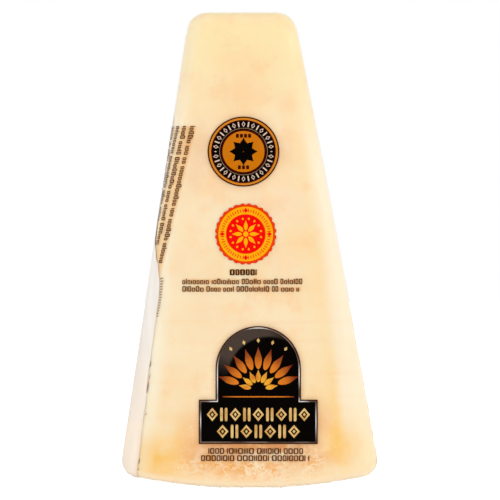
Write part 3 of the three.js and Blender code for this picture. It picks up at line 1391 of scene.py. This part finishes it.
BADGE_AMBER_RING = (10.6 * MM, 9.95 * MM)
BADGE_BAND = (9.6 * MM, 7.0 * MM)
BADGE_THIN_RING = (7.42 * MM, 7.28 * MM)
BADGE_HEART = 6.45 * MM
BADGE_SQUASH = 0.978

# Ticks round the band: bars and lozenges by turns, with a dot at the right and at the left
BADGE_TICKS = 36
QUARTER_TICKS = BADGE_TICKS // 4
BADGE_TICK_RADIUS = 8.6 * MM
BADGE_BAR = (0.42 * MM, 1.7 * MM)
BADGE_LOZENGE = (1.15 * MM, 1.75 * MM)
BADGE_DOT = (0.4 * MM, 0.9 * MM)

# Eight petals in the heart, and a short row of blocks above and below them
BADGE_PETAL = (2.8 * MM, 4.2 * MM)
BADGE_PETAL_RADIUS = 2.2 * MM
BADGE_BLOCK = (0.9 * MM, 1.2 * MM)
BADGE_BLOCK_PITCH = 1.25 * MM
BADGE_BLOCK_RISE = 4.95 * MM


def squashed(piece):
    """Makes a part of the badge a little less tall, as the film's shrinking did."""
    middle = Vector((BADGE[0], 0, BADGE[1]))
    squash = Matrix.Diagonal((1.0, 1.0, BADGE_SQUASH, 1.0))
    piece.data.transform(Matrix.Translation(middle) @ squash @ Matrix.Translation(-middle))
    return piece


def make_badge(film, inks):
    """A dark dial with an amber heart, a rosette in it and pale ticks round it."""
    fields = [
        (disc("badge_field", BADGE, BADGE_RADIUS), 1, "maroon", "black_print"),
        (ring("badge_ring", BADGE, *BADGE_AMBER_RING), 2, "pale amber", "gold_print"),
        (ring("badge_band", BADGE, *BADGE_BAND), 2, "black", "black_print"),
        (ring("badge_thin_ring", BADGE, *BADGE_THIN_RING), 3, "pale brown", "gold_print"),
        (disc("badge_heart", BADGE, BADGE_HEART), 2, "amber", "gold_print"),
    ]
    lay_print(film, inks, [(in_squares(squashed(field)), *how) for field, *how in fields])

    bars = []
    lozenges = []
    dots = []
    for i in range(BADGE_TICKS):
        turn = math.tau * i / BADGE_TICKS
        if i % (2 * QUARTER_TICKS) == QUARTER_TICKS:
            dots.append(stamp_round(BADGE, BADGE_TICK_RADIUS, turn, BADGE_DOT))
        elif i % 2:
            bars.append(stamp_round(BADGE, BADGE_TICK_RADIUS, turn, BADGE_BAR))
        else:
            lozenges.append(stamp_round(BADGE, BADGE_TICK_RADIUS, turn, BADGE_LOZENGE))
    petals = wreath(BADGE, BADGE_PETAL_RADIUS, 8, BADGE_PETAL)
    blocks = []
    for count, rise in ((4, BADGE_BLOCK_RISE), (3, -BADGE_BLOCK_RISE)):
        for shift in spread(count, BADGE_BLOCK_PITCH):
            blocks.append(stamp_at(BADGE[0] + shift, BADGE[1] + rise, BADGE_BLOCK))
    marks = [
        (stamped("badge_ticks", block_model(), bars), 3, "cream", "white_print"),
        (stamped("badge_lozenges", lozenge_model(LOZENGE_RIM), lozenges), 3, "cream", "white_print"),
        (stamped("badge_dots", lozenge_model(), dots), 3, "cream", "white_print"),
        (stamped("badge_rosette", petal_model(), petals), 3, "black", "black_print"),
        (stamped("badge_bars", block_model(), blocks), 3, "maroon", "black_print"),
    ]
    lay_print(film, inks, [(squashed(mark), *how) for mark, *how in marks])


# The red medallion ------------------------------------------------------------

SEAL_RADIUS = 9.5 * MM
SEAL_SCALLOPS = 28
SEAL_SCALLOP_DEPTH = 0.6 * MM
SEAL_YELLOW_RING = (8.4 * MM, 6.1 * MM)
SEAL_HEART = 5.95 * MM

# Dashes round the yellow ring, short and long by turns, with a stud at each quarter
SEAL_DASHES = 56
SEAL_DASH_RADIUS = 7.25 * MM
SEAL_DASH_WIDTH = 0.3 * MM
SEAL_SHORT_DASH = 0.8 * MM
SEAL_LONG_DASH = 1.15 * MM
SEAL_STUD = (1.3 * MM, 1.7 * MM)

# The flower in the heart: petals, a wreath of beads and an eye
SEAL_PETAL = (1.25 * MM, 3.1 * MM)
SEAL_PETAL_RADIUS = 2.7 * MM
SEAL_BEAD = (0.75 * MM, 0.9 * MM)
SEAL_BEAD_RADIUS = 4.75 * MM
SEAL_EYE = 0.8 * MM


def scalloped(piece):
    """Dents the edge of the medallion between its scallops, after doubling its corners."""
    on_all(piece, bpy.ops.mesh.bevel, offset=0.0001 * MM, affect="VERTICES", segments=1)
    for vertex in piece.data.vertices:
        away = Vector((vertex.co.x - SEAL[0], 0, vertex.co.z - SEAL[1]))
        turn = math.atan2(away.x, away.z)
        dent = SEAL_SCALLOP_DEPTH * (1 - abs(math.sin(SEAL_SCALLOPS * turn / 2)))
        vertex.co -= away.normalized() * dent
    return piece


def make_seal(film, inks):
    """A red medallion with a scalloped edge, a yellow band and a yellow flower."""
    dashes = []
    for i in range(SEAL_DASHES):
        if i % (SEAL_DASHES // 4):
            size = (SEAL_DASH_WIDTH, SEAL_LONG_DASH if i % 2 else SEAL_SHORT_DASH)
            dashes.append(stamp_round(SEAL, SEAL_DASH_RADIUS, math.tau * i / SEAL_DASHES, size))
    studs = wreath(SEAL, SEAL_DASH_RADIUS, 4, SEAL_STUD)
    petals = wreath(SEAL, SEAL_PETAL_RADIUS, 8, SEAL_PETAL)
    beads = wreath(SEAL, SEAL_BEAD_RADIUS, 16, SEAL_BEAD, start=0.5)
    layers = [
        (in_squares(scalloped(disc("seal_field", SEAL, SEAL_RADIUS))), 1, "orange", "red_print"),
        (in_squares(ring("seal_band", SEAL, *SEAL_YELLOW_RING)), 2, "yellow", "gold_print"),
        (in_squares(disc("seal_heart", SEAL, SEAL_HEART)), 2, "red", "red_print"),
        (stamped("seal_dashes", block_model(), dashes), 3, "orange", "red_print"),
        (stamped("seal_studs", lozenge_model(), studs), 3, "red", "red_print"),
        (stamped("seal_petals", petal_model(), petals), 3, "yellow", "gold_print"),
        (stamped("seal_beads", lozenge_model(), beads), 3, "yellow", "gold_print"),
        (disc("seal_eye", SEAL, SEAL_EYE), 3, "yellow", "gold_print"),
    ]
    lay_print(film, inks, layers)


# The black signboard ----------------------------------------------------------

# How far the edge, the silver rim and the board itself are grown from the outline
EDGE_GROW = 0.3 * MM
RIM_GROW = -0.1 * MM
BOARD_GROW = -0.4 * MM
RIM_WIDTH = 0.3 * MM

# The fan: name, model, rays each side of the middle one, degrees apart, distance, width, height in mm, ink
FAN_RAYS = [
    ("fan_outer", petal_model, 4, 18, 9.7, 2.3, 6.8, "fan gold"),
    ("fan_inner", petal_model, 3, 26, 4.2, 1.6, 3.8, "bright gold"),
    ("fan_tips", lozenge_model, 2, 17, 15.1, 1.0, 1.5, "gold"),
]
FAN_LINE_Z = 28.4 * MM
FAN_LINE = (22 * MM, 0.35 * MM)

# Friezes: name, length, height of the middle, number of fields
FRIEZES = [
    ("frieze_upper", 31.8 * MM, 22.95 * MM, 9),
    ("frieze_lower", 25.6 * MM, 17.75 * MM, 7),
]
FRIEZE_HEIGHT = 4.1 * MM
FRIEZE_HEART = (0.9 * MM, 1.2 * MM)
FRIEZE_BAR = (0.85 * MM, FRIEZE_HEIGHT)


def sign_outline(name, grow):
    """A board with shoulders and a domed top, as one flat face, grown or shrunk all round."""
    board = round_model(name, ROUND_CORNERS, DOME_HALF + grow)
    board.data.transform(Matrix.Translation((SIGN_X, 0, DOME_SPRING)))
    on_all(board, bpy.ops.mesh.bisect, plane_co=(0, 0, DOME_SPRING), plane_no=(0, 0, 1), clear_inner=True)

    corners = board.data.vertices
    lowest = min(v.co.z for v in corners) + 0.01 * MM
    edit_where(board, "EDGE", lambda e: all(corners[i].co.z < lowest for i in e.vertices))
    drop = {"value": (0, 0, SIGN_SHOULDER + grow - DOME_SPRING)}
    bpy.ops.mesh.extrude_edges_move(TRANSFORM_OT_translate=drop)
    bpy.ops.mesh.extrude_edges_move(TRANSFORM_OT_translate={"value": (0, 0, 0)})
    widening = (SIGN_HALF + grow) / (DOME_HALF + grow)
    bpy.ops.transform.resize(value=(widening, 1, 1), center_override=(SIGN_X, 0, 0))
    drop = {"value": (0, 0, SIGN_FOOT - SIGN_SHOULDER - 2 * grow)}
    bpy.ops.mesh.extrude_edges_move(TRANSFORM_OT_translate=drop)
    bpy.ops.mesh.select_all(action="SELECT")
    bpy.ops.mesh.dissolve_faces()
    stop_edit()
    board.data.transform(Matrix.Translation((0, FACE_Y - PRINT_GAP, 0)))
    return board


def fan_layers():
    """Rays of petals and lozenges that open upwards, over a thin line."""
    layers = []
    for name, model, half, degrees, distance, width, height, ink in FAN_RAYS:
        turns = [math.radians(degrees * i) for i in range(-half, half + 1)]
        size = (width * MM, height * MM)
        rays = [stamp_round(FAN, distance * MM, turn, size) for turn in turns]
        layers.append((stamped(name, model(), rays), 3, ink, "gold_print"))
    line = stamped("fan_line", block_model(), [stamp_at(SIGN_X, FAN_LINE_Z, FAN_LINE)])
    return layers + [(line, 3, "fan gold", "gold_print")]


def frieze_layers(name, length, middle, count):
    """A row of hollow lozenges, each with a small one in it, with pairs of upright bars between them."""
    pitch = length / count
    lozenges = []
    hearts = []
    bars = []
    for i, shift in enumerate(spread(count, pitch)):
        x = SIGN_X + shift
        if i % 2:
            bars += [stamp_at(x + share * pitch, middle, FRIEZE_BAR) for share in (-0.2, 0.2)]
        else:
            lozenges.append(stamp_at(x, middle, (pitch * 0.98, FRIEZE_HEIGHT)))
            hearts.append(stamp_at(x, middle, FRIEZE_HEART))
    return [
        (stamped(name, lozenge_model(LOZENGE_RIM), lozenges), 3, "gold", "gold_print"),
        (stamped(name + "_hearts", lozenge_model(), hearts), 3, "gold", "gold_print"),
        (stamped(name + "_bars", block_model(), bars), 3, "gold", "gold_print"),
    ]


def make_sign(film, inks):
    """The board, its rims, the gold fan in its dome and the two gold friezes below."""
    layers = [
        (in_squares(sign_outline("sign_edge", EDGE_GROW)), 1, "dark brown", "black_print"),
        (in_squares(hollow(sign_outline("sign_rim", RIM_GROW), RIM_WIDTH)), 2, "silver", "white_print"),
        (in_squares(sign_outline("sign_board", BOARD_GROW)), 2, "dome", "black_print"),
    ]
    layers += fan_layers()
    for frieze in FRIEZES:
        layers += frieze_layers(*frieze)
    lay_print(film, inks, layers)


# Small print on the front -----------------------------------------------------

# Rows: left end, right end, foot and height
WORD_ROW = [(-6.2 * MM, 2.9 * MM, 65.75 * MM, 1.8 * MM)]
NOTE_ROWS = [(-20.8 * MM, 16.2 * MM, 63.0 * MM, 1.7 * MM), (-20.8 * MM, 15.8 * MM, 60.7 * MM, 1.7 * MM)]
FOOT_ROWS = [(-12.8 * MM, 16.8 * MM, 10.85 * MM, 1.75 * MM), (-15.0 * MM, 19.0 * MM, 8.65 * MM, 1.75 * MM)]

# Their style: share of tall blocks, widening, share of the hole that stays, ink and slot
FRONT_ROWS = [
    ("word_row", WORD_ROW, 1.0, 1.3, 0.45, "dark brown", "black_print"),
    ("note_rows", NOTE_ROWS, 0.3, 1.0, 0.66, "brown", "brown_print"),
    ("foot_rows", FOOT_ROWS, 1.0, 1.35, 0.72, "brown", "black_print"),
]
FRONT_SEED = 11


def make_front_rows(film, inks):
    """The rows in the middle of the front and below the signboard."""
    dice = random.Random(FRONT_SEED)
    layers = []
    for name, rows, tall_share, wide, hole, ink, slot in FRONT_ROWS:
        places = row_places(dice, rows, tall_share, wide)
        layers.append((rows_of_print(name, places, hole), 1, ink, slot))
    lay_print(film, inks, layers)


# Small print round the left edge ----------------------------------------------

MARGIN_FIRST_WAY = -2.5 * MM
MARGIN_PITCH = 2.4 * MM
MARGIN_LENGTH = 52 * MM
MARGIN_HEIGHT = 1.6 * MM
MARGIN_SPREAD = 0.016
MARGIN_ROWS = 7
MARGIN_CLEAR = 0.3 * MM
MARGIN_TALL_SHARE = 0.35
MARGIN_SEED = 23


def make_margin_rows(film, inks):
    """Rows that read downwards, side by side round the left edge, each as far down as the lap lets it."""
    dice = random.Random(MARGIN_SEED)
    places = []
    for row in range(MARGIN_ROWS):
        base = MARGIN_FIRST_WAY + row * MARGIN_PITCH
        for down, width, tall in word_blocks(dice, MARGIN_LENGTH, MARGIN_HEIGHT, MARGIN_TALL_SHARE):
            z = MARGIN_TOP - down
            way = base + (MARGIN_DRIFT + MARGIN_SPREAD * row) * down
            if way + MARGIN_HEIGHT > lap_edge(z) - MARGIN_CLEAR:
                break
            place = stamp_at(way + MARGIN_HEIGHT - tall / 2, z, (width, tall), math.pi / 2)
            places.append((is_narrow(width, MARGIN_HEIGHT), place))
    print_rolled(rows_of_print("margin_rows", places), film, LAYER, inks["brown"])


# Print on the back ------------------------------------------------------------

BACK_SEED = 5
BACK_MARGIN = 7.5 * MM
BACK_ROW_TOP = 114 * MM
BACK_ROW_PITCH = 3.1 * MM
BACK_ROW_COUNT = 15
BACK_ROW_HEIGHT = 1.5 * MM

TABLE_TOP = 62 * MM
TABLE_PITCH = 4.4 * MM
TABLE_LINES = 8
TABLE_RULE = 0.25 * MM
CELL_RISE = 1.4 * MM
CELL_INSET = 1 * MM
LEFT_CELL = (5, 9)
RIGHT_CELL = (14, 22)

BAND_MIDDLE = 18 * MM
BAND_SIZE = (52 * MM, 11 * MM)
BAND_CORNER = 0.03
BAND_LOZENGE = (4.4 * MM, 5.6 * MM)
BAND_LOZENGE_RIM = 0.16
BAND_PITCH = 5.2 * MM

BACK_RING = (-2.2 * MM, 126 * MM)
BACK_RING_RADII = (6.4 * MM, 5.4 * MM)
BACK_PETAL = (1.4 * MM, 3.6 * MM)
BACK_PETAL_RADIUS = 2.6 * MM


def back_row(z):
    """A full row on the back at a height, inside both margins."""
    left, right = cuts_at(z)
    return (left + BACK_MARGIN, right - BACK_MARGIN, z, BACK_ROW_HEIGHT)


def make_back_print(lap, inks):
    """Rows of small print, a ruled table, a black band with lozenges and a gold ring, on the white."""
    dice = random.Random(BACK_SEED)
    rows = [back_row(BACK_ROW_TOP - i * BACK_ROW_PITCH) for i in range(BACK_ROW_COUNT)]
    small_print = rows_of_print("back_rows", row_places(dice, rows, side=BACK))
    rules = []
    cells = []
    for i in range(TABLE_LINES):
        z = TABLE_TOP - i * TABLE_PITCH
        left, right, _, height = back_row(z)
        rules.append(stamp_at((left + right) / 2, z, (right - left, TABLE_RULE), side=BACK))
        if i < TABLE_LINES - 1:
            foot = z - TABLE_PITCH + CELL_RISE
            cells.append((right - dice.uniform(*RIGHT_CELL) * MM, right - CELL_INSET, foot, height))
            cells.append((left + CELL_INSET, left + dice.uniform(*LEFT_CELL) * MM, foot, height))
    table_rules = stamped("table_rules", block_model(), rules)
    table_cells = rows_of_print("table_cells", row_places(dice, cells, side=BACK))
    band = stamped("back_band", block_model(BAND_CORNER), [stamp_at(0, BAND_MIDDLE, BAND_SIZE, side=BACK)])
    spots = [stamp_at(x, BAND_MIDDLE, BAND_LOZENGE, side=BACK) for x in spread(9, BAND_PITCH)]
    lozenges = stamped("back_lozenges", lozenge_model(BAND_LOZENGE_RIM), spots)
    petals = wreath(BACK_RING, BACK_PETAL_RADIUS, 8, BACK_PETAL, side=BACK)
    layers = [
        (small_print, 1, "brown", "brown_print"),
        (in_squares(table_rules), 1, "dark brown", "brown_print"),
        (table_cells, 1, "dark brown", "brown_print"),
        (in_squares(band), 1, "black", "black_print"),
        (lozenges, 2, "gold", "gold_print"),
        (in_squares(ring("back_ring", BACK_RING, *BACK_RING_RADII, BACK)), 1, "gold", "gold_print"),
        (stamped("back_rosette", petal_model(), petals), 1, "black", "black_print"),
    ]
    lay_print(lap, inks, layers, BACK)


# The welds at both ends -------------------------------------------------------

# Welds: name, half length, sideways middle
TOP_WELD = ("weld_top", 12.5 * MM, -2.6 * MM)
FOOT_WELD = ("weld_foot", 33 * MM, 0.0)
WELD_WIDTH = 3.2 * MM
WELD_PITCH = 1.1 * MM
WELD_RIB = 0.06 * MM
WELD_LIFT = 0.09 * MM
WELD_FILM = 0.08 * MM
WELD_SHIFT = 1.5 * MM
RIB_STEPS = 6


def make_weld(name, half_length, middle, upwards, film, material):
    """A flat ribbed weld across one end of the film."""
    steps = round(2 * half_length * RIB_STEPS / WELD_PITCH)
    bpy.ops.mesh.primitive_grid_add(x_subdivisions=steps, y_subdivisions=6, size=1)
    weld = named(name)
    z = HEIGHT + PRINT_GAP if upwards else -PRINT_GAP
    size = Matrix.Diagonal((half_length * 2, WELD_WIDTH, 1.0, 1.0))
    weld.data.transform(Matrix.Translation((middle, WELD_SHIFT, z)) @ size)
    project_onto(weld, film, "z", not upwards)
    if not upwards:
        on_all(weld, bpy.ops.mesh.flip_normals)
    move_out(weld, lambda place, normal: WELD_LIFT + WELD_RIB * math.sin(math.tau * place.x / WELD_PITCH))
    thicken(weld, WELD_FILM)
    return printed(weld, material)


# All of it --------------------------------------------------------------------


def main():
    bpy.context.scene.view_settings.view_transform = "Standard"
    make_camera()
    make_white_room()
    for softbox in SOFTBOXES:
        make_softbox(*softbox)
    make_floor()
    waves = make_film_waves()
    inks = make_inks(waves)
    clear = make_film_material(waves)
    form = make_form()
    make_cheese(form, make_cheese_material())
    film = make_film(form, clear)
    bpy.data.objects.remove(form)
    lap = make_lap(film, make_white_print(waves))
    make_seam(film, inks)
    make_badge(film, inks)
    make_seal(film, inks)
    make_sign(film, inks)
    make_front_rows(film, inks)
    make_margin_rows(film, inks)
    make_back_print(lap, inks)
    make_weld(*TOP_WELD, True, film, clear)
    make_weld(*FOOT_WELD, False, film, clear)


main()
